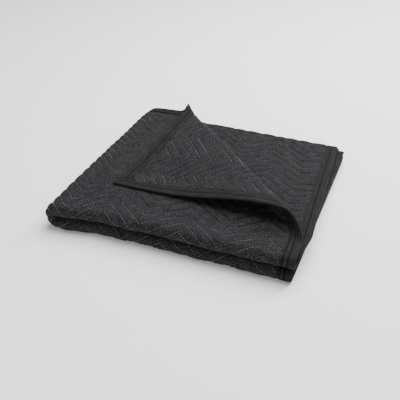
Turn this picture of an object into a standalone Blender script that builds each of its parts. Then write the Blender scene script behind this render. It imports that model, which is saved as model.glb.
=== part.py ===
"""Moving blanket, folded for the shelf: a quilted sheet and the four tapes that bind its edges.

The sheet is laid out flat, quilted in zigzag rows and scored where it bends. It is then folded in
four along its length, in half across its width, and the top layer's back corner is turned over.
Metres, +Z up. The origin is on the floor, under the middle of the pile.
"""
import math

import bmesh
import bpy
from mathutils import Vector

# Driving dimensions of the flat blanket
SHEET_WIDTH = 1.016
SHEET_LENGTH = 1.735
QUILT_PITCH = 0.0262       # from one zigzag row of stitches to the next
ZIGZAG_PERIOD = 0.1560     # from one peak of a zigzag row to the next
ZIGZAG_HEIGHT = 0.0450     # from valley to peak
ZIGZAG_PHASE = 0.0550      # of the first peak from the sheet's middle line
PUFF_THICKNESS = 0.0042    # between two rows of stitches
STITCH_THICKNESS = 0.0024  # at a row of stitches
HIDDEN_THICKNESS = 0.0036  # inside the pile, where the layers press on each other
EDGE_THICKNESS = 0.0016    # squeezed inside the binding tape
TAPE_WIDTH = 0.0230        # on each face of the sheet
TAPE_THICKNESS = 0.0009
GAP = 0.00035              # between pieces that touch
TAPE_BED = TAPE_WIDTH + 4 * GAP    # the squeezed margin of the sheet
SHOULDER = TAPE_WIDTH + 0.0040     # from where the sheet has its full thickness

# Driving dimensions of the folded pile
PILE_HEIGHT = 0.0550
BACK_EDGE_Y = 0.2336       # the top layer's bound edge
LEFT_AXIS_X = -0.2252      # axis of the half fold at the left
TURN_RADIUS = 0.0145       # soft roll of the turned corner
TURN_DISTANCE = 0.0630     # of the roll's outer line from the pile's middle, along +X +Y
ROLL_FRONT_END = 0.269     # where the roll meets the sheet's edges, along +X -Y
ROLL_BACK_END = -0.267
ROLL_FRONT_HEIGHT = 0.0363 # of the roll's middle surface at its front end, where it stands taller
FRONT_BULGE = 0.014        # of the front folds, near the left corner
FRONT_BULGE_X = -0.220
FRONT_BULGE_WIDTH = 0.060
FRONT_BULGE_START = -0.093
FRONT_BULGE_REACH = 0.110

# Middle surface of the turned flap, above the layer that it lies on
FLAP_LEVEL = 0.0053
FLAP_SECTION = [
    # distance back from the roll, height at the roll's front end, height at its back end
    (0.000, ROLL_FRONT_HEIGHT, 2 * TURN_RADIUS),
    (0.030, 0.0365, 0.0240),
    (0.060, 0.0340, 0.0190),
    (0.085, 0.0275, 0.0145),
    (0.110, 0.0185, 0.0110),
    (0.135, 0.0110, 0.0085),
    (0.160, 0.0070, 0.0065),
    (0.185, 0.0053, 0.0053),
]

# Middle surface of each layer of the upper half, above the pile's middle height. The lower half
# mirrors it.
TOP_LEVEL = (PILE_HEIGHT - PUFF_THICKNESS) / 2
FRONT_LEVEL = 0.0036       # second layer, in front of the inner fold
SECOND_LEVEL = 0.0131
THIRD_LEVEL = 0.0079
RAMP_ANGLE = math.radians(40)

# Sections of the sheet along its length, in the order that they are folded. A run is a straight
# length, a bend turns through an angle, and steps is the number of facets of a bend.
OUTER_RADIUS = (TOP_LEVEL - FRONT_LEVEL) / 2
INNER_RADIUS = (SECOND_LEVEL - THIRD_LEVEL) / 2
RAMP_RADIUS = (SECOND_LEVEL - FRONT_LEVEL) / 2 / (1 - math.cos(RAMP_ANGLE))
SECTIONS = [
    # name, kind, run length or bend radius, bend angle, steps
    ("top layer", "run", 0.4420, 0, 1),
    ("outer front fold", "bend", OUTER_RADIUS, math.pi, 8),
    ("second layer, front", "run", 0.0050, 0, 1),
    ("ramp, lower half", "bend", RAMP_RADIUS, RAMP_ANGLE, 3),
    ("ramp, upper half", "bend", RAMP_RADIUS, -RAMP_ANGLE, 3),
    ("second layer, back", "run", 0.3980, 0, 1),
    ("back fold", "bend", INNER_RADIUS, -math.pi, 6),
    ("third layer", "run", 0.3990, 0, 1),
    ("inner front fold", "bend", INNER_RADIUS, math.pi, 6),
]

# The right edge of the upper and the lower half, at stations along the sheet. Cloth between two
# stations is straight.
EDGE_STATIONS = [
    # metres along the sheet, x of the upper half's edge, x of the lower half's edge
    (0.000, 0.2200, 0.2393),
    (0.300, 0.2190, 0.2393),
    (0.350, 0.2250, 0.2393),
    (0.385, 0.2400, 0.2393),
    (0.442, 0.2428, 0.2393),
    (0.476, 0.2428, 0.2393),
    (0.560, 0.2513, 0.2403),
    (0.912, 0.2253, 0.2413),
    (1.319, 0.2403, 0.2403),
    (1.735, 0.2283, 0.2403),
]

# The top layer's back right corner reaches past its back edge. That fades towards the front.
CORNER_REACH = 0.0240
CORNER_REACH_START = 0.12  # share of the way from the left fold to the side edge
CORNER_REACH_END = 0.385   # metres along the sheet

LEFT_REACH = math.pi * TOP_LEVEL / 2   # of each half of the sheet round the left fold
LEFT_STEPS = 8
DIAGONAL = math.sqrt(0.5)
TOP_HEIGHT = PILE_HEIGHT / 2 + TOP_LEVEL
LIFT_DISTANCE = TURN_DISTANCE - TURN_RADIUS
ROLL_LENGTH = math.pi * TURN_RADIUS
ROLL_STEPS = 8


def make_material(name, colour, roughness):
    """A matt cloth material, by its linear colour."""
    material = bpy.data.materials.new(name)
    material.use_nodes = True
    shader = material.node_tree.nodes["Principled BSDF"]
    shader.inputs["Base Color"].default_value = (*colour, 1)
    shader.inputs["Roughness"].default_value = roughness
    shader.inputs["Metallic"].default_value = 0
    material.diffuse_color = (*colour, 1)
    return material


# ---- The fold: from a point of the flat sheet to its place in the pile. u runs across the sheet
# ---- from its middle line, v along it from the top layer's bound edge.

def section_length(section):
    name, kind, size, angle, steps = section
    return size if kind == "run" else size * abs(angle)


def last_run():
    """The innermost layer takes up the rest of the sheet."""
    return SHEET_LENGTH - sum(section_length(section) for section in SECTIONS)


def all_sections():
    return SECTIONS + [("fourth layer", "run", last_run(), 0, 1)]


def fold_stations():
    """Every v where the sheet is scored across: the ends and facets of the bends."""
    stations = []
    start = 0.0
    for section in all_sections():
        length = section_length(section)
        steps = section[4]
        stations += [start + length * i / steps for i in range(1, steps + 1)]
        start += length
    return stations[:-1]


def place_along(v):
    """Walks the sections up to v. Gives y and the level above the pile's middle height."""
    y, level, heading = BACK_EDGE_Y, TOP_LEVEL, math.pi
    left = v
    sections = all_sections()
    for number, (name, kind, size, angle, steps) in enumerate(sections):
        length = size if kind == "run" else size * abs(angle)
        step = left if number == len(sections) - 1 or (left < 0 and number == 0) else min(left, length)
        if kind == "run":
            y += step * math.cos(heading)
            level += step * math.sin(heading)
        else:
            side = math.copysign(1, angle)
            turned = heading + side * step / size
            y += size * side * (math.sin(turned) - math.sin(heading))
            level -= size * side * (math.cos(turned) - math.cos(heading))
            heading = turned
        left -= step
        if left <= 0:
            break
    return y, level


def edge_x(v, lower):
    """x of the sheet's bound side edge at v."""
    column = 2 if lower else 1
    for start, end in zip(EDGE_STATIONS, EDGE_STATIONS[1:]):
        if v <= end[0] or end is EDGE_STATIONS[-1]:
            share = (v - start[0]) / (end[0] - start[0])
            return start[column] + share * (end[column] - start[column])
    return EDGE_STATIONS[-1][column]


def front_bulge(x, y):
    """The front folds stand further out near the left corner. It fades away from the front."""
    front = min(1, max(0, (FRONT_BULGE_START - y) / FRONT_BULGE_REACH))
    return -FRONT_BULGE * front ** 2 * math.exp(-((x - FRONT_BULGE_X) / FRONT_BULGE_WIDTH) ** 2)


def share_along_roll(along):
    """0 at the roll's back end, 1 at its front end."""
    return min(1, max(0, (along - ROLL_BACK_END) / (ROLL_FRONT_END - ROLL_BACK_END)))


def flap_height(back, along):
    """Height of the flap above the layer that it lies on, at a distance back from the roll."""
    share = share_along_roll(along)
    for near, far in zip(FLAP_SECTION, FLAP_SECTION[1:]):
        if back <= far[0]:
            part = (back - near[0]) / (far[0] - near[0])
            at_front = near[1] + part * (far[1] - near[1])
            at_back = near[2] + part * (far[2] - near[2])
            return at_back + share * (at_front - at_back)
    return FLAP_LEVEL


def turned(length, along, off):
    """Distance out from the lifting line and height above the layer of the turned corner, at a
    length of cloth past that line and a distance off its middle surface."""
    back = length - ROLL_LENGTH
    if back > 0:
        return -back, flap_height(back, along) - off
    angle = length / TURN_RADIUS
    rise = TURN_RADIUS + share_along_roll(along) * (ROLL_FRONT_HEIGHT / 2 - TURN_RADIUS)
    up = off * math.cos(angle) + rise * (1 - math.cos(angle))
    return (TURN_RADIUS - off) * math.sin(angle), up


def turn_corner(co):
    """Turns a point on or near the flat top layer over the diagonal roll, whose facets are flat."""
    length = (co.x + co.y) * DIAGONAL - LIFT_DISTANCE
    along = (co.x - co.y) * DIAGONAL
    off = co.z - TOP_HEIGHT
    if length <= 0 or abs(off) > PUFF_THICKNESS or co.x < LEFT_AXIS_X:
        return co
    if length < ROLL_LENGTH:
        facet = ROLL_LENGTH / ROLL_STEPS
        start = math.floor(length / facet + 1e-4) * facet
        near = turned(start, along, off)
        far = turned(min(start + facet, ROLL_LENGTH), along, off)
        share = (length - start) / facet
        out, up = (a + share * (b - a) for a, b in zip(near, far))
    else:
        out, up = turned(length, along, off)
    shift = (out - length) * DIAGONAL
    return Vector((co.x + shift, co.y + shift, TOP_HEIGHT + up))


def lay(u, v):
    """The place in the pile of the flat sheet's point (u, v), before its corner is turned."""
    y, level = place_along(v)
    reach = abs(u) - LEFT_REACH
    if reach < 0:
        angle = math.pi / 2 * (1 - u / LEFT_REACH)
        x = LEFT_AXIS_X - level * math.sin(angle)
        height = level * math.cos(angle)
        corner = 0
    else:
        share = reach / (SHEET_WIDTH / 2 - LEFT_REACH)
        x = LEFT_AXIS_X + share * (edge_x(v, u < 0) - LEFT_AXIS_X)
        height = math.copysign(level, u)
        across = max(0, share - CORNER_REACH_START) / (1 - CORNER_REACH_START)
        corner = CORNER_REACH * across ** 2 * max(0, 1 - v / CORNER_REACH_END) if u > 0 else 0
    return Vector((x, y + front_bulge(x, y) + corner, PILE_HEIGHT / 2 + height))


def lay_normal(u, v):
    """The laid sheet's normal: up on the top layer."""
    step = 1e-5
    along_u = lay(u + step, v) - lay(u - step, v)
    along_v = lay(u, v + step) - lay(u, v - step)
    return -along_u.cross(along_v).normalized()


def score_and_turn_corner(bm):
    """Cuts the top layer along the lines of the roll and of the flap's sections, and turns the
    corner over."""
    lengths = [ROLL_LENGTH * i / ROLL_STEPS for i in range(ROLL_STEPS)]
    lengths += [ROLL_LENGTH + row[0] for row in FLAP_SECTION]
    for length in lengths:
        faces = []
        for face in bm.faces:
            low = min(vert.co.z for vert in face.verts)
            if low > TOP_HEIGHT - PUFF_THICKNESS and face.calc_center_median().x > LEFT_AXIS_X:
                faces.append(face)
        edges = {edge for face in faces for edge in face.edges}
        verts = {vert for face in faces for vert in face.verts}
        reach = (LIFT_DISTANCE + length) * DIAGONAL
        bmesh.ops.bisect_plane(
            bm, geom=list(verts) + list(edges) + faces, plane_co=(reach, reach, 0),
            plane_no=(1, 1, 0), dist=1e-6)
    for vert in bm.verts:
        vert.co = turn_corner(vert.co)


# ---- The quilted sheet

def zigzag(u):
    """Offset along the sheet of a zigzag row at u."""
    share = (u - ZIGZAG_PHASE) / ZIGZAG_PERIOD % 1
    return ZIGZAG_HEIGHT * (abs(2 * share - 1) - 0.5)


def puff(u, v):
    """0 on a row of stitches, 1 halfway between two."""
    share = (v - zigzag(u)) / QUILT_PITCH % 1
    return 1 - abs(2 * share - 1)


def turning_lines():
    """Each u where the zigzag rows turn."""
    half = ZIGZAG_PERIOD / 2
    count = int(SHEET_WIDTH / 2 / half) + 1
    return [ZIGZAG_PHASE + i * half for i in range(-count, count)]


def score(bm, point, normal, inside):
    """Cuts the flat faces along a line, where their middle lies inside a range of u and v."""
    low_u, high_u, low_v, high_v = inside
    faces = []
    for face in bm.faces:
        middle = face.calc_center_median()
        if low_u < middle.x < high_u and low_v < middle.y < high_v:
            faces.append(face)
    edges = {edge for face in faces for edge in face.edges}
    verts = {vert for face in faces for vert in face.verts}
    bmesh.ops.bisect_plane(
        bm, geom=list(verts) + list(edges) + faces, plane_co=(*point, 0), plane_no=(*normal, 0),
        dist=1e-6)


def score_quilting(bm, columns, rows):
    """Cuts the rows of stitches, and the lines halfway between, into each column of the quilting."""
    low_v, high_v = rows
    for left, right in zip(columns, columns[1:]):
        slope = (zigzag(right - 1e-7) - zigzag(left + 1e-7)) / (right - left)
        offset = zigzag((left + right) / 2)
        first = math.ceil((low_v - offset - ZIGZAG_HEIGHT) / QUILT_PITCH * 2)
        last = math.floor((high_v - offset + ZIGZAG_HEIGHT) / QUILT_PITCH * 2)
        for half_row in range(first, last + 1):
            point = ((left + right) / 2, half_row * QUILT_PITCH / 2 + offset)
            score(bm, point, (-slope, 1), (left, right, low_v, high_v))


def sheet_thickness(u, v):
    """Thin inside the tape, puffed between the stitches where the quilting shows."""
    margin = min(SHEET_WIDTH / 2 - abs(u), v, SHEET_LENGTH - v)
    if margin < TAPE_BED + 1e-5:
        return EDGE_THICKNESS
    top_end = SECTIONS[0][2]
    if u < 0 and abs(u) > LEFT_REACH - 1e-6 and v < top_end + 1e-6:
        return PUFF_THICKNESS
    if v > quilted_end() + 1e-6:
        return HIDDEN_THICKNESS
    if u < -LEFT_REACH and v > top_end + section_length(SECTIONS[1]) + 1e-6:
        return HIDDEN_THICKNESS
    return STITCH_THICKNESS + (PUFF_THICKNESS - STITCH_THICKNESS) * puff(u, v)


def quilted_end():
    """v where the second layer turns under at the back."""
    return sum(section_length(section) for section in SECTIONS[:6])


def build_sheet(material, collection):
    """Lays the sheet out flat, scores it, folds it and thickens it."""
    half_width = SHEET_WIDTH / 2
    bm = bmesh.new()
    bmesh.ops.create_grid(bm, x_segments=1, y_segments=1, size=0.5)
    for vert in bm.verts:
        vert.co.x *= SHEET_WIDTH
        vert.co.y = (vert.co.y + 0.5) * SHEET_LENGTH
    whole = (-half_width, half_width, 0, SHEET_LENGTH)
    for v in fold_stations():
        score(bm, (0, v), (0, 1), whole)
    for v in [row[0] for row in EDGE_STATIONS[1:-1]]:
        score(bm, (0, v), (0, 1), whole)
    for i in range(LEFT_STEPS + 1):
        angle = math.pi * i / LEFT_STEPS
        score(bm, (LEFT_REACH * (1 - 2 * angle / math.pi), 0), (1, 0), whole)
    for margin in (TAPE_BED, SHOULDER):
        score(bm, (margin - half_width, 0), (1, 0), whole)
        score(bm, (half_width - margin, 0), (1, 0), whole)
        score(bm, (0, margin), (0, 1), whole)
        score(bm, (0, SHEET_LENGTH - margin), (0, 1), whole)
    quilt_edge = half_width - SHOULDER
    lines = turning_lines()
    upper = [LEFT_REACH] + [u for u in lines if LEFT_REACH < u < quilt_edge] + [quilt_edge]
    top_end = SECTIONS[0][2]
    for u in lines:
        if LEFT_REACH < u < quilt_edge:
            score(bm, (u, 0), (1, 0), (LEFT_REACH, half_width, 0, quilted_end()))
        if -quilt_edge < u < -LEFT_REACH:
            bend = (-half_width, -LEFT_REACH, top_end, top_end + section_length(SECTIONS[1]))
            score(bm, (u, 0), (1, 0), bend)
    score_quilting(bm, upper, (SHOULDER, top_end))
    score_quilting(bm, upper, (sum(section_length(s) for s in SECTIONS[:5]), quilted_end()))
    score_quilting(bm, [0, LEFT_REACH], (SHOULDER, top_end))
    layer = bm.verts.layers.deform.verify()
    for vert in bm.verts:
        u, v = vert.co.x, vert.co.y
        vert[layer][0] = sheet_thickness(u, v) / PUFF_THICKNESS
        vert.co = lay(u, v)
    score_and_turn_corner(bm)
    return thicken(bm, "quilted_sheet", PUFF_THICKNESS, material, collection, True)


def thicken(bm, name, thickness, material, collection, weighted):
    """Makes a folded surface into an object whose Solidify modifier gives it thickness."""
    mesh = bpy.data.meshes.new(name)
    bm.to_mesh(mesh)
    bm.free()
    mesh.materials.append(material)
    mesh.shade_smooth()
    mesh.set_sharp_from_angle(angle=math.radians(50))
    obj = bpy.data.objects.new(name, mesh)
    collection.objects.link(obj)
    solidify = obj.modifiers.new("Thickness", "SOLIDIFY")
    solidify.thickness = thickness
    solidify.offset = 0
    if weighted:
        obj.vertex_groups.new(name="Thickness")
        solidify.vertex_group = "Thickness"
    return obj


# ---- The binding tapes

def tape_section():
    """The tape's middle surface round the sheet's edge: the distance beyond the edge and the
    distance off the sheet's middle surface."""
    beyond = GAP + TAPE_THICKNESS / 2
    off = EDGE_THICKNESS / 2 + GAP + TAPE_THICKNESS / 2
    return [(-TAPE_WIDTH, off), (beyond, off), (beyond, -off), (-TAPE_WIDTH, -off)]


def build_tape(name, edge_point, stations, material, collection):
    """A tape folded over an edge. edge_point(station, beyond) gives the flat sheet's point at a
    distance beyond the edge."""
    section = tape_section()
    columns, rows = len(section) - 1, len(stations) - 1
    bm = bmesh.new()
    bmesh.ops.create_grid(bm, x_segments=columns, y_segments=rows, size=0.5)
    for vert in bm.verts:
        beyond, off = section[round((vert.co.x + 0.5) * columns)]
        u, v = edge_point(stations[round((vert.co.y + 0.5) * rows)], beyond)
        vert.co = lay(u, v) + lay_normal(u, v) * off
    score_and_turn_corner(bm)
    obj = thicken(bm, name, TAPE_THICKNESS, material, collection, False)
    obj.modifiers["Thickness"].use_even_offset = True
    return obj


def side_stations():
    """Stations of a side tape along the sheet."""
    return thin_out([0.0, SHEET_LENGTH] + fold_stations() + [row[0] for row in EDGE_STATIONS])


def end_stations():
    """Stations of an end tape across the sheet, between the side tapes."""
    end = SHEET_WIDTH / 2 - TAPE_WIDTH - GAP
    round_fold = [LEFT_REACH * (1 - 2 * i / LEFT_STEPS) for i in range(LEFT_STEPS + 1)]
    columns = [u for u in turning_lines() if LEFT_REACH < u < end]
    return thin_out([-end, end] + round_fold + columns)


def thin_out(stations):
    """Sorted, without the stations that fall on one another."""
    kept = []
    for station in sorted(stations):
        if not kept or station - kept[-1] > 1e-5:
            kept.append(station)
    return kept


def build_tapes(material, collection):
    """One tape along each long side and one across each end, butted between the side tapes."""
    half = SHEET_WIDTH / 2
    edges = [
        ("side_tape_upper", lambda v, beyond: (half + beyond, v), side_stations()),
        ("side_tape_lower", lambda v, beyond: (-half - beyond, v), side_stations()),
        ("end_tape_outer", lambda u, beyond: (u, -beyond), end_stations()),
        ("end_tape_inner", lambda u, beyond: (u, SHEET_LENGTH + beyond), end_stations()),
    ]
    for name, edge_point, stations in edges:
        build_tape(name, edge_point, stations, material, collection)


def build():
    for obj in list(bpy.data.objects):
        bpy.data.objects.remove(obj)
    collection = bpy.data.collections.new("moving_blanket")
    bpy.context.scene.collection.children.link(collection)
    cloth = make_material("quilted_cloth", (0.055, 0.052, 0.058), 0.95)
    tape = make_material("binding_tape", (0.047, 0.045, 0.044), 0.85)
    build_sheet(cloth, collection)
    build_tapes(tape, collection)


build()
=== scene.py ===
"""The looks of a folded moving blanket: its quilted sheet, the thread that quilts it, and the tapes
that bind its edges. Metres, +Z up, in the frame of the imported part."""
import math

import bmesh
import bpy
import numpy as np
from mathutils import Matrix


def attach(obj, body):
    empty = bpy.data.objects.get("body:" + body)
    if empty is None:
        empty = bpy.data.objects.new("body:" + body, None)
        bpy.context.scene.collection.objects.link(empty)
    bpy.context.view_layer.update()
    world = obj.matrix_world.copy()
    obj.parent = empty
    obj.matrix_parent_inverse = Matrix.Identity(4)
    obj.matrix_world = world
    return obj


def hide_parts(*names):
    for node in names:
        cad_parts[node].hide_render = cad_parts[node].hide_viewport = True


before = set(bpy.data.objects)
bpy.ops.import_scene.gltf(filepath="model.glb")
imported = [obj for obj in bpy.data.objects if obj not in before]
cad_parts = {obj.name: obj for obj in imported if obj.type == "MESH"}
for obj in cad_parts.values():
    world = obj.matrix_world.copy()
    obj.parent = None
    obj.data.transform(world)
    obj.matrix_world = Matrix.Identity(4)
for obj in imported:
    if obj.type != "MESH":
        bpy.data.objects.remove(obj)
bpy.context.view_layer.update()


# ---- The quilted sheet
# Two faces of dark needled cloth with batting between them, quilted flat in zigzag rows. The sheet
# is folded in four along its length and in half across its width, and one top corner is turned
# over a soft diagonal roll. u runs across the sheet from its middle, v along it from the top end.

sheet_width = 1.016
sheet_length = 1.735
quilt_pitch = 0.0257
zigzag_low = 0.4470        # u of one of the zigzag's corners that point to the top end
puff_half = 0.00255        # half thickness between two rows of stitches
stitch_half = 0.00045      # and at a row
edge_half = 0.0008         # inside the binding tape
tape_width = 0.0230
pile_height = 0.0550
back_edge_y = 0.2336
left_axis_x = -0.2252      # of the half fold
top_level = 0.0254         # heights of the layers' own middles over the pile's middle
front_level = 0.0036       # the outer front fold's end, before the sheet climbs to its second layer
second_level = 0.0131
third_level = 0.0079
left_reach = math.pi * top_level / 2
top_height = pile_height / 2 + top_level
roll_radius = 0.0145
roll_length = math.pi * roll_radius
lift_distance = 0.0630 - roll_radius     # from the middle toward the back right, where the roll starts
roll_front_end = 0.269
roll_back_end = -0.267
ramp_angle = math.radians(40)
ramp_length = (second_level - front_level) / 2 / (1 - math.cos(ramp_angle)) * ramp_angle

# Where each quilting row passes its corner at zigzag_low: number of the row, v. The rows lie a
# little closer together toward the ends of the sheet.
row_stations = np.array([
    (-4, -0.0870), (10, 0.2280), (17, 0.4034), (19, 0.4548), (29, 0.6960), (42, 1.0015)])
first_row = -4
last_row = 41

# How the hand-fed quilting wanders: v, the zigzag's period, height, slant off square, share of a
# period that its rising side takes, extra slant between the two places across
zigzag_stations = np.array([
    (0.25, 0.1490, 0.0580, 0.075, 0.56, 0.0), (0.35, 0.1560, 0.0580, 0.048, 0.50, 0.0),
    (0.48, 0.1560, 0.0580, 0.048, 0.50, 0.0), (0.60, 0.1435, 0.0435, -0.180, 0.50, 0.2)])
extra_from, extra_to = 0.305, 0.375

# How far the rows are drawn down round the left fold, as two tables: v of the row and metres, then
# u and the share of those metres
left_draw_rows = np.array([(0.05, 0.050), (0.18, 0.047), (0.4034, 0.018), (0.48, 0.0)])
left_draw_across = np.array([(-0.08, 0.0), (0.0, 1.0), (0.064, 1.0), (0.134, 0.0)])

# Length and bend of each section of the sheet, from the top layer's end to the innermost one
sections = [
    (0.4420, 0),                                              # top layer
    (math.pi * (top_level - front_level) / 2, math.pi),       # outer front fold
    (0.0050, 0),
    (ramp_length, ramp_angle),
    (ramp_length, -ramp_angle),
    (0.3980, 0),                                              # second layer
    (math.pi * (second_level - third_level) / 2, -math.pi),   # back fold
    (0.3990, 0),                                              # third layer
    (math.pi * (second_level - third_level) / 2, math.pi),    # inner front fold
    (1.0, 0),                                                 # fourth layer, to the sheet's end
]
front_fold_start = sections[0][0]
front_fold_end = front_fold_start + sections[1][0]
back_fold_start = sum(length for length, bend in sections[:6])

# The bound side edges: metres along the sheet, x of the upper half's, x of the lower half's
edge_stations = np.array([
    (0.000, 0.2200, 0.2393), (0.300, 0.2190, 0.2393), (0.350, 0.2250, 0.2393),
    (0.385, 0.2400, 0.2393), (0.442, 0.2428, 0.2393), (0.476, 0.2428, 0.2393),
    (0.560, 0.2513, 0.2403), (0.912, 0.2253, 0.2413), (1.319, 0.2403, 0.2403),
    (1.735, 0.2283, 0.2403)])
corner_reach = 0.0240      # of the top layer's back right corner, past its back edge
corner_run = 0.385         # v over which that reach fades out
corner_start = 0.12        # share of the way across at which it begins
bulge_out = 0.0140         # how far the front left corner bulges forward
bulge_x = -0.2200
bulge_width = 0.0600
bulge_start_y = -0.0930
bulge_run = 0.1100

# The turned flap: distance back from the roll, height above the top layer at the front, at the back
flap_section = np.array([
    (0.000, 0.0363, 0.0290), (0.030, 0.0365, 0.0240), (0.060, 0.0340, 0.0190),
    (0.085, 0.0275, 0.0145), (0.110, 0.0185, 0.0110), (0.135, 0.0110, 0.0085),
    (0.160, 0.0070, 0.0065), (0.185, 0.0053, 0.0053), (0.400, 0.0053, 0.0053)])
flap_rounding = 0.016      # distance to each side over which that section is rounded off
front_rise = flap_section[0, 1] / (2 * roll_radius) - 1     # how much taller the roll's front end is

# Dips of the roll near its back end: share of its height, place along the roll, half width. The
# negative one is the point in which that end stands up.
roll_dips = [(0.24, -0.195, 0.050), (-0.54, -0.262, 0.022)]


def smooth_step(x):
    """0 below 0, 1 above 1, and 3x^2 - 2x^3 between."""
    x = np.clip(x, 0, 1)
    return x * x * (3 - 2 * x)


def rolling(u, v, size, seed):
    """Smooth uneven waves, mostly within -1 to 1: the sum of five sines of about one wavelength,
    in directions and phases set by a seed, over 3.2."""
    rng = np.random.default_rng(seed)
    angles = rng.uniform(0, math.pi, 5)
    phases = rng.uniform(0, 6.28, 5)
    stretches = rng.uniform(0.7, 1.4, 5)
    total = 0.0
    for angle, phase, stretch in zip(angles, phases, stretches):
        along = u * math.cos(angle) + v * math.sin(angle)
        total = total + np.sin(2 * math.pi * along / (size * stretch) + phase)
    return total / 3.2


def zigzag(u, v):
    """Offset along the sheet of the row that starts at v: a triangle wave of u, a slant that is
    straight in u, an extra one over a short stretch, and how far the left fold draws it down."""
    period, height, slant, lean, extra = (
        np.interp(v, zigzag_stations[:, 0], zigzag_stations[:, k]) for k in range(1, 6))
    share = (u - zigzag_low) / period % 1
    wave = np.where(share < lean, share / lean, (1 - share) / (1 - lean))
    off_square = slant * (np.clip(u, 0, None) - zigzag_low)
    off_square = off_square + extra * (np.clip(u, extra_from, extra_to) - extra_to)
    drawn = np.interp(v, *left_draw_rows.T) * np.interp(u, *left_draw_across.T)
    return height * wave + off_square + drawn


def row_number(u, v):
    """Number of the quilting row through a place, with its share of the way to the next row. The
    row's start is v less its zigzag, found by going round until it settles."""
    start = v - zigzag(u, v)
    for _ in range(10):
        start = v - zigzag(u, start)
    return np.interp(start, row_stations[:, 1], row_stations[:, 0])


def walk(v):
    """y and the level above the pile's middle after a walk of v along the sections. A straight
    section moves by s cos(h) and s sin(h); a bend of radius r moves y by r (sin(h + s/r) - sin(h))
    and the level by r (cos(h) - cos(h + s/r)), signed by the side it bends to."""
    y = np.full(v.shape, back_edge_y)
    level = np.full(v.shape, top_level)
    heading, start = math.pi, 0.0
    for number, (length, bend) in enumerate(sections):
        step = np.clip(v - start, -1.0 if number == 0 else 0.0, length)
        if bend == 0:
            y = y + step * math.cos(heading)
            level = level + step * math.sin(heading)
        else:
            side, radius = math.copysign(1, bend), length / abs(bend)
            ahead = heading + side * step / radius
            y = y + radius * side * (np.sin(ahead) - math.sin(heading))
            level = level - radius * side * (np.cos(ahead) - math.cos(heading))
            heading += bend
        start += length
    return y, level


def lay(u, v):
    """The folded sheet's middle surface before its corner is turned. Round the left fold, x and
    the height are -level sin(a) and level cos(a) from the fold's axis, with a running from 0 to
    180 degrees; beyond it x grows evenly up to the bound edge, and the height is +-level. The
    front left corner bulges forward by a bell of x times the square of the way to the front, and
    the top layer's back right corner reaches back by the square of the way across."""
    y, level = walk(v)
    angle = math.pi / 2 * (1 - np.clip(u / left_reach, -1, 1))
    share = np.clip((np.abs(u) - left_reach) / (sheet_width / 2 - left_reach), 0, None)
    edge = np.where(u > 0, np.interp(v, edge_stations[:, 0], edge_stations[:, 1]),
                    np.interp(v, edge_stations[:, 0], edge_stations[:, 2]))
    x = left_axis_x - level * np.sin(angle) + share * (edge - left_axis_x)
    front = np.clip((bulge_start_y - y) / bulge_run, 0, 1) ** 2
    y = y - bulge_out * front * np.exp(-((x - bulge_x) / bulge_width) ** 2)
    across = np.clip((share - corner_start) / (1 - corner_start), 0, None)
    y = y + corner_reach * across ** 2 * np.clip(1 - v / corner_run, 0, None) * (u > 0)
    return np.stack([x, y, pile_height / 2 + level * np.cos(angle)], -1)


def dip(along):
    """Share by which the roll sinks in front of its back end, less the share by which that end
    stands up in a point: the sum of a bell for each dip."""
    return sum(share * np.exp(-((along - middle) / width) ** 2) for share, middle, width in roll_dips)


def flap_height(back, along):
    """Height of the flap over the top layer: the flap's section, rounded off, as it changes from
    the roll's back end to its front end."""
    share = np.clip((along - roll_back_end) / (roll_front_end - roll_back_end), 0, 1)
    spread = np.linspace(-flap_rounding, flap_rounding, 5)
    near = np.clip(back[..., None] + spread * np.clip(back / 0.03, 0, 1)[..., None], 0, None)
    front = np.interp(near, flap_section[:, 0], flap_section[:, 1]).mean(-1)
    rear = np.interp(near, flap_section[:, 0], flap_section[:, 2]).mean(-1)
    return (rear + share * (front - rear)) * (1 - dip(along) * np.clip(1 - back / 0.08, 0, 1))


def turn_corner(points, u, v):
    """Turns the top layer's corner over. Past the lifting line a point goes round the roll, by
    (r - off) sin(a) out and off cos(a) + r t (1 - cos(a)) up, where a = length / r and the roll is
    t times taller than round. Past the roll it goes back over the layer at the flap's height."""
    x, y, z = points[..., 0], points[..., 1], points[..., 2]
    length = (x + y) * math.sqrt(0.5) - lift_distance
    along = (x - y) * math.sqrt(0.5)
    off = z - top_height
    angle = np.clip(length, 0, roll_length) / roll_radius
    taller = 1 + front_rise * np.clip((along - roll_back_end) / (roll_front_end - roll_back_end), 0, 1)
    taller = taller * (1 - dip(along))
    out = (roll_radius - off) * np.sin(angle)
    up = off * np.cos(angle) + roll_radius * taller * (1 - np.cos(angle))
    back = length - roll_length
    past = back > 0
    out = np.where(past, -back, out)
    up = np.where(past, flap_height(np.clip(back, 0, None), along) - off, up)
    turned = (length > 0) & (u > 0) & (v < front_fold_start) & (x > left_axis_x)
    shift = np.where(turned, (out - length) * math.sqrt(0.5), 0)
    return np.stack([x + shift, y + shift, np.where(turned, top_height + up, z)], -1)


def place(u, v, off):
    """The point of the folded blanket at a distance off its middle surface: the laid surface plus
    off times its normal, then turned with the corner, and kept just over what the pile lies on."""
    step = 2e-5
    along_u = lay(u + step, v) - lay(u - step, v)
    along_v = lay(u, v + step) - lay(u, v - step)
    normal = -np.cross(along_u, along_v)
    normal = normal / np.linalg.norm(normal, axis=-1, keepdims=True)
    points = turn_corner(lay(u, v) + normal * off[..., None], u, v)
    points[..., 2] = np.maximum(points[..., 2], 0.00005)
    return points


def edge_margin(u, v):
    """Distance in from the nearest bound edge."""
    return np.minimum(np.minimum(sheet_width / 2 - np.abs(u), v), sheet_length - v)


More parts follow.
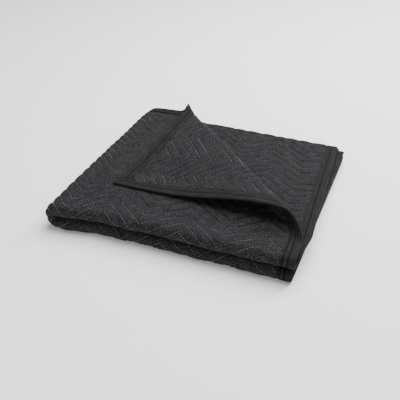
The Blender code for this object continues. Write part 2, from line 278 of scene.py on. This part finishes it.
def pressed(u, v):
    """Share by which the quilting is pressed flat, where the folded layers lay hardest on each
    other: the top layer beside the left fold, behind its front edge."""
    behind_front = smooth_step((0.40 - v) / 0.06)
    past_fold = smooth_step((u - 0.055) / 0.03)
    before_flap = smooth_step((0.26 - u) / 0.04)
    return 0.65 * behind_front * past_fold * before_flap


def half_thickness(u, v):
    """Half the quilt's thickness: full between two rows of stitches and pinched at a row, by a
    power of a sine; evener where it is pressed, fuller round the left fold, a third thinner in the
    layers inside the pile, and flat inside the tape."""
    share = row_number(u, v) % 1
    pillow = np.abs(np.sin(math.pi * share)) ** 0.55
    pillow = pillow + pressed(u, v) * (0.8 - pillow)
    puffed = stitch_half + (puff_half - stitch_half) * pillow
    uneven = 0.10 * rolling(u, v, 0.05, 3)
    fuller_at_fold = 0.12 * np.exp(-(u / 0.045) ** 2) * pillow
    puffed = puffed * (1 + uneven + fuller_at_fold)
    puffed = puffed * (1 - smooth_step((v - back_fold_start) / 0.02) / 3)
    inside = smooth_step((edge_margin(u, v) - tape_width - 0.001) / 0.005)
    return edge_half + inside * (puffed - edge_half)


def ease(u, v):
    """How far the cloth lies off its even middle surface: slow waves on the layers that show and
    smaller ones gathered by the stitches, none in the lower half or inside the pile; a swell and
    a hollow of the top layer's back edge, and waves round the front fold."""
    loose = smooth_step((back_fold_start - v) / 0.05) * smooth_step((u + 0.1) / 0.1)
    flat = smooth_step(edge_margin(u, v) / 0.03)
    slow = 0.0007 * rolling(u, v, 0.16, 5)
    share = row_number(u, v) % 1
    row = np.exp(-(np.minimum(share, 1 - share) * quilt_pitch / 0.006) ** 2)
    gathers = 0.00030 * rolling(u, v, 0.013, 7) * (0.30 + row)
    swell = 0.0028 * np.exp(-((u - 0.125) / 0.030) ** 2)
    hollow = 0.0045 * np.exp(-((u - 0.020) / 0.035) ** 2)
    corner = np.clip(1 - v / 0.08, 0, 1) ** 2 * (swell - hollow)
    around = np.clip((v - front_fold_start) / (front_fold_end - front_fold_start), 0, 1)
    fold = 0.0011 * np.sin(math.pi * around) * rolling(u, v * 0.2, 0.075, 9)
    return loose * (slow + flat * gathers) + corner + fold


def sheet_grid():
    """Arrays of u and v of the mesh. As far as the back fold its rows follow the zigzag, six to
    each quilting row and closer beside the stitches; where the zigzag would run off the cloth they
    are packed along the end. In the layers inside the pile they are straight and wider."""
    u = column_values()
    within_row = np.array([0, 0.09, 0.28, 0.50, 0.72, 0.91])
    numbers = (np.arange(first_row, last_row + 1)[:, None] + within_row).ravel()
    start = np.interp(numbers, row_stations[:, 0], row_stations[:, 1])[:, None]
    rows = start + zigzag(u, start)
    low, high, pack = tape_width + 0.0050, back_fold_start - 0.0020, 0.0002
    rows = rows[(rows.max(1) > low) & (rows.min(1) < high)]
    order = np.arange(len(rows))[:, None]
    rows = np.clip(rows, low + pack * order, high - pack * order[::-1])
    fold = sections[6][0]
    first = back_fold_start + np.linspace(0, fold, 8)
    third = np.linspace(first[-1], first[-1] + sections[7][0], 12)[1:-1]
    second = third[-1] + (third[1] - third[0]) + np.linspace(0, fold, 8)
    fourth = np.linspace(second[-1], sheet_length - tape_width - 0.006, 10)[1:]
    before = np.array([0, tape_width + 0.001])
    after = np.concatenate([first, third, second, fourth, [sheet_length - tape_width - 0.001, sheet_length]])
    straight = [np.broadcast_to(part[:, None], (len(part), len(u))) for part in (before, after)]
    v = np.concatenate([straight[0], rows, straight[1]])
    return np.broadcast_to(u, v.shape), v


def column_values():
    """u of each column of the mesh: fine on the top half, coarser round the left fold and on the
    lower half, each with columns beside the tape."""
    half = sheet_width / 2
    edge = half - tape_width
    lower = np.linspace(-edge + 0.006, -left_reach, 44)
    fold = np.linspace(-left_reach, left_reach, 22)[1:-1]
    upper = np.linspace(left_reach, edge - 0.006, 113)
    return np.concatenate([[-half, -edge + 0.001], lower, fold, upper, [edge - 0.001, half]])


def grid_faces(rows, columns, first=0):
    """Quads of a grid of points that is stored row by row."""
    i = np.arange(rows - 1)[:, None] * columns + np.arange(columns - 1)
    quads = np.stack([i, i + 1, i + columns + 1, i + columns], -1)
    return quads.reshape(-1, 4) + first


def make_piece(name, points, faces, material, **maps):
    """Makes a mesh object from arrays. Each map holds two numbers for every vertex, such as its
    place on the flat cloth in metres, and becomes a UV map of that name."""
    mesh = bpy.data.meshes.new(name)
    mesh.vertices.add(len(points))
    mesh.vertices.foreach_set("co", np.ascontiguousarray(points, np.float32).ravel())
    mesh.loops.add(faces.size)
    mesh.loops.foreach_set("vertex_index", faces.ravel().astype(np.int32))
    mesh.polygons.add(len(faces))
    mesh.polygons.foreach_set("loop_start", np.arange(0, faces.size, faces.shape[1], dtype=np.int32))
    mesh.update(calc_edges=True)
    mesh.validate()
    for map_name, values in maps.items():
        layer = mesh.uv_layers.new(name=map_name)
        layer.data.foreach_set("uv", values[faces.ravel()].astype(np.float32).ravel())
    mesh.shade_smooth()
    mesh.materials.append(material)
    obj = bpy.data.objects.new(name, mesh)
    bpy.context.scene.collection.objects.link(obj)
    return obj


def closed_sheet(name, u, v, half, shift, material):
    """Two layers of one grid of the sheet, at shift + half and shift - half off its middle, joined
    all round their edge. Both carry the flat cloth's place and the number of the quilting row."""
    rows, columns = u.shape
    points = np.concatenate([place(u, v, shift + side * half).reshape(-1, 3) for side in (1, -1)])
    count = rows * columns
    over = grid_faces(rows, columns)[:, ::-1]
    under = grid_faces(rows, columns, count)
    ring = np.concatenate([
        np.arange(columns), np.arange(1, rows) * columns + columns - 1,
        (rows - 1) * columns + np.arange(columns - 2, -1, -1), np.arange(rows - 2, 0, -1) * columns])
    after = np.roll(ring, -1)
    rim = np.stack([ring, after, after + count, ring + count], -1)
    faces = np.concatenate([over, under, rim])
    flat = np.tile(np.stack([u.ravel(), v.ravel()], -1), (2, 1))
    quilting = np.tile(np.stack([u.ravel(), row_number(u, v).ravel()], -1), (2, 1))
    return make_piece(name, points, faces, material, flat=flat, quilting=quilting)


class Nodes:
    """Adds nodes to a material and links them, so that a recipe reads from top to bottom."""

    def __init__(self, name):
        self.material = bpy.data.materials.new(name)
        self.material.use_nodes = True
        self.tree = self.material.node_tree
        self.shader = self.tree.nodes["Principled BSDF"]

    def add(self, kind, inputs=None, **settings):
        node = self.tree.nodes.new("ShaderNode" + kind)
        for key, value in settings.items():
            setattr(node, key, value)
        for key, value in (inputs or {}).items():
            self.set(node.inputs[key], value)
        return node

    def set(self, socket, value):
        if isinstance(value, bpy.types.NodeSocket):
            self.tree.links.new(value, socket)
        else:
            socket.default_value = value

    def math(self, operation, *values):
        node = self.add("Math", operation=operation)
        for socket, value in zip(node.inputs, values):
            self.set(socket, value)
        return node.outputs[0]

    def noise(self, place, scale, detail=3.0, rough=0.6):
        return self.add("TexNoise", {"Vector": place, "Scale": scale, "Detail": detail,
                                     "Roughness": rough}).outputs["Fac"]

    def ramp(self, value, stops):
        node = self.add("ValToRGB", {"Fac": value})
        band = node.color_ramp
        while len(band.elements) < len(stops):
            band.elements.new(0.5)
        for element, (position, colour) in zip(band.elements, stops):
            element.position = position
            element.color = (*colour, 1)
        return node.outputs["Color"]

    def spread(self, value, low, high, to_low, to_high):
        node = self.add("MapRange", {"Value": value, "From Min": low, "From Max": high,
                                     "To Min": to_low, "To Max": to_high})
        return node.outputs["Result"]

    def mix(self, factor, first, second, blend="MIX"):
        """Sockets 6 and 7 are the Mix node's two colours, and output 2 is the mixed one."""
        node = self.add("Mix", {"Factor": factor}, data_type="RGBA", blend_type=blend)
        self.set(node.inputs[6], first)
        self.set(node.inputs[7], second)
        return node.outputs[2]

    def bump(self, height, distance, strength, under=None):
        inputs = {"Height": height, "Distance": distance, "Strength": strength}
        if under is not None:
            inputs["Normal"] = under
        return self.add("Bump", inputs).outputs["Normal"]


def quilted_cloth():
    """Charcoal cloth with a faint lilac cast: a fine weave, flecks of lighter fibre, puckers that
    run out from each row of stitches, and painted shade in the groove at each row. It reads the
    flat cloth's own UV map, in metres, and the one that numbers the quilting rows."""
    n = Nodes("quilted_cloth")
    flat = n.add("UVMap", uv_map="flat").outputs["UV"]
    axes = n.add("SeparateXYZ", {"Vector": flat}).outputs
    u, v = axes["X"], axes["Y"]
    quilting = n.add("SeparateXYZ", {"Vector": n.add("UVMap", uv_map="quilting").outputs["UV"]}).outputs
    row = n.math("FRACT", n.math("ADD", quilting["Y"], 10))
    far = n.math("MINIMUM", row, n.math("SUBTRACT", 1, row))
    beside = n.spread(far, 0.0, 0.30, 1.0, 0.0)
    # Painted shade darkens the groove at each row of stitches, and is fainter where the quilting is pressed
    # flat.
    groove_shade = n.spread(far, 0.02, 0.095, 1.0, 0.0)
    open_cloth = n.math("MAXIMUM", n.spread(v, 0.34, 0.40, 0.35, 1.0), n.spread(u, 0.22, 0.26, 0.35, 1.0))
    groove_shade = n.math("MULTIPLY", groove_shade, n.math("MAXIMUM", open_cloth, n.spread(u, 0.055, 0.080, 1.0, 0.35)))
    slant = n.add("CombineXYZ", {"X": u, "Y": n.math("MULTIPLY", v, 0.45)}).outputs[0]
    puckers = n.noise(slant, 170, 2.0, 0.5)
    flecks = n.noise(flat, 360, 5.0, 0.90)
    patches = n.noise(flat, 60, 4.0, 0.65)
    weave_pitch = 0.0012
    warp = n.math("SINE", n.math("MULTIPLY", u, 2 * math.pi / weave_pitch))
    weft = n.math("SINE", n.math("MULTIPLY", v, 2 * math.pi / weave_pitch))
    weave = n.math("MULTIPLY", warp, weft)
    tone = n.math("ADD", n.math("MULTIPLY", flecks, 0.90), n.math("MULTIPLY", patches, 0.10))
    base = n.ramp(tone, [(0.435, (0.0010, 0.0009, 0.0011)), (0.50, (0.0070, 0.0064, 0.0073)),
                         (0.565, (0.046, 0.0425, 0.048))])
    # Multiplies the painted groove shade into the cloth's colour, down to about a fifth of it at a row.
    colour = n.mix(n.math("MULTIPLY", groove_shade, 0.9), base, (0.12, 0.12, 0.13, 1), "MULTIPLY")
    n.set(n.shader.inputs["Base Color"], colour)
    n.set(n.shader.inputs["Roughness"], n.spread(flecks, 0.3, 0.7, 0.86, 0.98))
    n.shader.inputs["Specular IOR Level"].default_value = 0.15
    n.shader.inputs["Sheen Weight"].default_value = 0.006
    n.shader.inputs["Sheen Roughness"].default_value = 0.55
    n.shader.inputs["Sheen Tint"].default_value = (0.86, 0.84, 0.92, 1)
    relief = n.bump(n.math("MULTIPLY", puckers, beside), 0.0022, 0.75)
    relief = n.bump(flecks, 0.0006, 0.40, relief)
    relief = n.bump(weave, 0.00012, 0.5, relief)
    n.set(n.shader.inputs["Normal"], relief)
    return n.material


sheet_u, sheet_v = sheet_grid()
cloth = closed_sheet("quilted_sheet_cloth", sheet_u, sheet_v, half_thickness(sheet_u, sheet_v),
                     ease(sheet_u, sheet_v), quilted_cloth())
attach(cloth, "root")
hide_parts("quilted_sheet")


# ---- The quilting thread
# Pale polyester thread, lockstitched through the whole sheet along each zigzag row. Each stitch
# shows as a short bridge that sinks into the cloth at both ends.

stitch_pitch = 0.0052
stitch_length = 0.0036
thread_radius = 0.00032
stitch_rise = 0.00110      # of a stitch's middle over its ends
stitch_sink = 0.00055      # how far the ends lie under the cloth's surface
closed_depth = 0.00110     # how far the thread sinks where the cloth has closed over it
hidden_depth = 0.00100     # past which none of it shows
sink_wander = 0.00030      # how unevenly the thread is pulled in
top_layer_end = 0.50       # v that parts the top layer from the second one, in the front fold


def stitch_places():
    """Flat places of every stitch along the zigzag rows, and the row's slope there. Stitches are
    one stitch pitch apart along the row's own length, summed over short steps of u."""
    half = sheet_width / 2 - tape_width - 0.003
    u = np.linspace(-half, half, 1200)
    rows = np.interp(np.arange(first_row, last_row + 1), row_stations[:, 0], row_stations[:, 1])[:, None]
    steps = np.hypot(np.diff(u), np.diff(rows + zigzag(u, rows), axis=1))
    run = np.concatenate([np.zeros_like(rows), np.cumsum(steps, axis=1)], axis=1)
    places = [np.interp(np.arange(0, length[-1], stitch_pitch), length, u) for length in run]
    across = np.concatenate(places)
    row = np.repeat(rows[:, 0], [len(place) for place in places])
    v = row + zigzag(across, row)
    keep = (edge_margin(across, v) > tape_width + 0.004) & (v < back_fold_start - 0.004)
    keep &= (v < front_fold_end) | (across > -left_reach)
    across, v, row = across[keep], v[keep], row[keep]
    slope = (zigzag(across + 1e-5, row) - zigzag(across - 1e-5, row)) / 2e-5
    return across, v, slope


def thread_bridges(side):
    """Tubes of five rings of four points. Along a stitch the thread's middle rises over the cloth
    and sinks at its ends, as a cosine of its length. Where the cloth has closed over a row the
    thread sinks further, and a stitch that it hides is left out."""
    u, v, slope = stitch_places()
    # Share of the thread that shows: on the top layer's face near its front edge and the left
    # fold, and on the flap and the second layer mostly on one side of each zigzag.
    on_top = v < top_layer_end
    open_side = np.where(on_top, slope > 0, slope < 0)
    near_front = smooth_step((v - 0.380) / 0.045)
    near_fold = 0.85 * np.exp(-((u - 0.040) / 0.022) ** 2)
    face = np.clip(near_front + near_fold, 0, 1) * np.where(slope > 0, 1.10, 0.95)
    flap = 0.78 * open_side
    second = np.where(open_side, 0.75 * smooth_step((0.84 - v) / 0.10), 0.15)
    shown = np.where(on_top, face if side > 0 else flap, second)
    sunk = sink_wander * rolling(u, v, 0.06, 21) - closed_depth * (1 - shown)
    keep = (sunk > -hidden_depth) & ((side > 0) | (v > front_fold_end) | (u > left_reach))
    u, v, slope, sunk = u[keep], v[keep], slope[keep], sunk[keep]
    shares = np.linspace(-0.5, 0.5, 5)
    away = np.array([0, 1, 0, -1]) * thread_radius
    rise = np.array([1, 0, -1, 0]) * thread_radius
    run = 1 / np.sqrt(1 + slope ** 2)
    along_u = (run[:, None] * shares * stitch_length)[:, :, None]
    along_v = ((run * slope)[:, None] * shares * stitch_length)[:, :, None]
    uu = u[:, None, None] + along_u - (run * slope)[:, None, None] * away
    vv = v[:, None, None] + along_v + run[:, None, None] * away
    lift = (np.cos(shares * math.pi) * stitch_rise - stitch_sink)[None, :, None] + sunk[:, None, None]
    off = side * (stitch_half + 0.0001 + lift + rise) + ease(uu, vv)
    points = place(uu, vv, off)
    count = len(u)
    ring = np.arange(4)
    i = (np.arange(4)[:, None] * 4 + ring)
    j = (np.arange(4)[:, None] * 4 + (ring + 1) % 4)
    walls = np.stack([i, j, j + 4, i + 4], -1).reshape(-1, 4)
    ends = np.array([[3, 2, 1, 0], [16, 17, 18, 19]])
    faces = np.concatenate([walls, ends])
    if side > 0:
        faces = faces[:, ::-1]
    faces = faces[None] + (np.arange(count) * len(shares) * 4)[:, None, None]
    return points.reshape(-1, 3), faces.reshape(-1, 4)


def thread_material(name, colour):
    """Spun polyester thread, a little uneven in tone."""
    n = Nodes(name)
    place_of = n.add("TexCoord").outputs["Object"]
    tone = n.noise(place_of, 260, 2.0, 0.6)
    low = tuple(c * 0.62 for c in colour)
    n.set(n.shader.inputs["Base Color"], n.ramp(tone, [(0.35, low), (0.65, colour)]))
    n.shader.inputs["Roughness"].default_value = 0.6
    n.shader.inputs["Sheen Weight"].default_value = 0.2
    n.set(n.shader.inputs["Normal"], n.bump(n.noise(place_of, 2600, 2.0, 0.5), 0.0002, 0.4))
    return n.material


pale_thread = thread_material("quilting_thread", (0.205, 0.20, 0.215))
for name, side in (("quilting_thread_face", 1), ("quilting_thread_back", -1)):
    points, faces = thread_bridges(side)
    thread = make_piece(name, points, faces, pale_thread)
    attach(thread, "root")


# ---- The binding tapes
# Woven polyester tape, folded over each raw edge of the sheet and sewn through with two rows of
# dark thread. One tape runs down each long side, and one across each end, butted between them.

tape_thickness = 0.0009
tape_gap = 0.00035
seam_rows = (0.0122, 0.0213)      # distance of the two rows of stitches from the edge


def tape_profile():
    """The tape round the sheet's edge, as (distance in from the edge, distance off the sheet's
    middle, distance along the tape's own width): out along one face, round the edge, back along
    the other, and home along the inside. Grooves at the seam rows are narrow bells."""
    inner = edge_half + tape_gap
    outer = inner + tape_thickness
    reach = np.array([tape_width, 0.0226, 0.0220, 0.0213, 0.0206, 0.0199, 0.0186, 0.0168,
                      0.0145, 0.0132, 0.0122, 0.0112, 0.0104, 0.0090, 0.0070, 0.0040, 0.0015, 0.0])
    depth = sum(np.exp(-((reach - seam) / 0.0008) ** 2) for seam in seam_rows)
    swell = 0.00025 * np.sin(np.clip(reach / 0.0125, 0, 1) * math.pi)
    height = outer - 0.00050 * depth + swell
    height[0] = inner + 0.0001
    angle = np.linspace(0, math.pi, 7)[1:-1]
    nose = np.stack([-(outer - 0.0006) * np.sin(angle), outer * np.cos(angle)], -1)
    face = np.stack([reach, height], -1)
    back = np.stack([reach[::-1], -height[::-1]], -1)
    halfway, past_edge = 0.0110, -0.0002
    inside = np.array([(tape_width, -inner), (halfway, -inner), (past_edge, -inner),
                       (past_edge, inner), (halfway, inner), (tape_width, inner)])
    outline = np.concatenate([face, nose, back])
    width = np.concatenate([[0], np.cumsum(np.linalg.norm(np.diff(outline, axis=0), axis=1))])
    full = np.concatenate([outline, inside])
    return full, np.concatenate([width, np.full(len(inside), width[-1])])


def make_tape(name, node, along, flat_place, pucker_seed):
    """Carries the profile along an edge and closes its two ends. flat_place(along, reach) gives
    the flat sheet's point at a distance in from the edge. Puckers lie beside the seams."""
    profile, width = tape_profile()
    station, reach = np.meshgrid(along, profile[:, 0], indexing="ij")
    off = np.broadcast_to(profile[:, 1], station.shape)
    near = np.exp(-((reach - 0.017) / 0.006) ** 2)
    puckers = 0.00016 * rolling(station, reach * 0.3, 0.011, pucker_seed) * near * np.sign(off)
    u, v = flat_place(station, reach)
    points = place(u, v, off + puckers + ease(u, v))
    rows, columns = station.shape
    i = np.arange(rows - 1)[:, None] * columns + np.arange(columns)
    j = np.arange(rows - 1)[:, None] * columns + (np.arange(columns) + 1) % columns
    faces = np.stack([i, j, j + columns, i + columns], -1).reshape(-1, 4)
    flat = np.stack([np.broadcast_to(width, station.shape), station], -1).reshape(-1, 2)
    tape = make_piece(name, points.reshape(-1, 3), faces, tape_material, flat=flat)
    bm = bmesh.new()
    bm.from_mesh(tape.data)
    bm.verts.ensure_lookup_table()
    for first in (0, (rows - 1) * columns):
        bm.faces.new([bm.verts[first + k] for k in range(columns)])
    bmesh.ops.recalc_face_normals(bm, faces=bm.faces[:])
    bm.to_mesh(tape.data)
    bm.free()
    tape.data.set_sharp_from_angle(angle=math.radians(70))
    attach(tape, "root")
    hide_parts(node)
    return tape


def binding_cloth():
    """Dark grey twill tape: fine ribs along the tape, a weave across them, and near-black lines at
    the seams, the dark thread with painted shade in the seam grooves.
    The UV map holds metres across and along the tape."""
    n = Nodes("binding_tape")
    flat = n.add("UVMap", uv_map="flat").outputs["UV"]
    axes = n.add("SeparateXYZ", {"Vector": flat}).outputs
    across, along = axes["X"], axes["Y"]
    rib_pitch, pick_pitch = 0.0016, 0.0010
    ribs = n.math("SINE", n.math("MULTIPLY", across, 2 * math.pi / rib_pitch))
    picks = n.math("SINE", n.math("MULTIPLY", along, 2 * math.pi / pick_pitch))
    uneven = n.noise(flat, 700, 3.0, 0.7)
    finer, longer = n.math("MULTIPLY", across, 900), n.math("MULTIPLY", along, 30)
    streak = n.noise(n.add("CombineXYZ", {"X": finer, "Y": longer}).outputs[0], 1.0, 2.0, 0.6)
    tone = n.math("ADD", n.math("MULTIPLY", uneven, 0.5), n.math("MULTIPLY", streak, 0.5))
    # Near-black lines at the seam rows, wider than the thread: the dark thread's colour with painted shade
    # in the seam grooves. The row next to the tape's inner edge also paints the shadow where that edge meets
    # the cloth.
    seam = 0.0
    for place_across in seam_shade_across:
        near = n.math("ABSOLUTE", n.math("SUBTRACT", across, place_across))
        seam = n.math("ADD", seam, n.spread(near, 0.0012, 0.0020, 1.0, 0.0))
    base = n.ramp(tone, [(0.40, (0.0018, 0.0017, 0.0018)), (0.50, (0.0076, 0.0071, 0.0076)),
                         (0.60, (0.027, 0.0250, 0.0266))])
    colour = n.mix(n.math("MINIMUM", seam, 0.97), base, (0.0004, 0.0004, 0.0004, 1))
    n.set(n.shader.inputs["Base Color"], colour)
    n.set(n.shader.inputs["Roughness"], n.spread(streak, 0.3, 0.7, 0.74, 0.90))
    n.shader.inputs["Specular IOR Level"].default_value = 0.15
    n.shader.inputs["Sheen Weight"].default_value = 0.005
    n.shader.inputs["Sheen Roughness"].default_value = 0.5
    relief = n.bump(ribs, 0.00022, 0.6)
    relief = n.bump(n.math("MULTIPLY", ribs, picks), 0.00014, 0.6, relief)
    relief = n.bump(uneven, 0.0003, 0.4, relief)
    n.set(n.shader.inputs["Normal"], relief)
    return n.material


# Places of the dark seam lines along the tape's own width, dark thread with painted shade in the
# seam grooves. Both rows are painted dark on the tape's face, and only the one nearer the edge on its back.
profile_points, profile_width = tape_profile()
inner_back_seam = 37       # number of the profile's point at the other row on the back
seam_shade_across = [width for seam in seam_rows for width in
               profile_width[:inner_back_seam][profile_points[:inner_back_seam, 0] == seam]]
tape_material = binding_cloth()

# Stations along the tapes: finer round the folds. A gap for each section of the sheet.
side_gaps = (0.0040, 0.0016, 0.0025, 0.0016, 0.0016, 0.0080, 0.0009, 0.0120, 0.0009, 0.0120)
fold_v = np.concatenate([[0.0], np.cumsum([length for length, bend in sections[:9]]), [sheet_length]])
side_along = np.unique(np.concatenate([
    np.linspace(start, end, 2 + int((end - start) / gap))
    for start, end, gap in zip(fold_v, fold_v[1:], side_gaps)]))
half = sheet_width / 2
end_side = half - tape_width - tape_gap
end_along = np.unique(np.concatenate([
    np.linspace(-end_side, -left_reach, 60), np.linspace(-left_reach, left_reach, 34),
    np.linspace(left_reach, end_side, 118)]))
tapes = [
    make_tape("side_tape_upper_cloth", "side_tape_upper", side_along,
              lambda along, reach: (half - reach, along), 11),
    make_tape("side_tape_lower_cloth", "side_tape_lower", side_along,
              lambda along, reach: (reach - half, along), 12),
    make_tape("end_tape_outer_cloth", "end_tape_outer", end_along,
              lambda along, reach: (along, reach), 13),
    make_tape("end_tape_inner_cloth", "end_tape_inner", end_along,
              lambda along, reach: (along, sheet_length - reach), 14),
]


# ---- Floor, light and camera
# A pale studio sweep, one broad soft light overhead and weaker ones from the sides.

floor_mesh = bpy.data.meshes.new("floor")
floor_mesh.from_pydata([(-6, -6, 0), (6, -6, 0), (6, 6, 0), (-6, 6, 0)], [], [(0, 1, 2, 3)])
floor = bpy.data.objects.new("floor", floor_mesh)
bpy.context.scene.collection.objects.link(floor)
floor_look = Nodes("pale_floor")
floor_look.shader.inputs["Base Color"].default_value = (0.93, 0.93, 0.93, 1)
floor_look.shader.inputs["Roughness"].default_value = 0.9
floor_mesh.materials.append(floor_look.material)

world = bpy.data.worlds.new("studio")
world.use_nodes = True
world.node_tree.nodes["Background"].inputs["Color"].default_value = (1.0, 1.0, 1.0, 1)
world.node_tree.nodes["Background"].inputs["Strength"].default_value = 0.30
bpy.context.scene.world = world


def soft_light(name, place_at, aim, size, power):
    """An area light that faces a point."""
    data = bpy.data.lights.new(name, "AREA")
    data.shape = "DISK"
    data.size = size
    data.energy = power
    lamp = bpy.data.objects.new(name, data)
    bpy.context.scene.collection.objects.link(lamp)
    lamp.location = place_at
    towards = np.array(aim) - np.array(place_at)
    flat_run = math.hypot(towards[0], towards[1])
    lamp.rotation_euler = (math.atan2(flat_run, -towards[2]), 0, math.atan2(-towards[0], towards[1]))


soft_light("overhead", (0.25, 0.7, 2.1), (0, 0, 0), 2.4, 118)
soft_light("key", (0.9, 1.5, 1.2), (0, 0, 0.03), 0.8, 33)
soft_light("fill", (0.2, -2.2, 0.8), (0, 0, 0.03), 1.2, 26)

camera_data = bpy.data.cameras.new("camera")
camera_data.lens = 57.2
camera_data.sensor_width = 36
camera = bpy.data.objects.new("camera", camera_data)
bpy.context.scene.collection.objects.link(camera)
camera.location = (0.404, -1.054, 0.745)
camera.rotation_euler = (math.radians(55.9), 0, math.radians(21.8))
bpy.context.scene.camera = camera
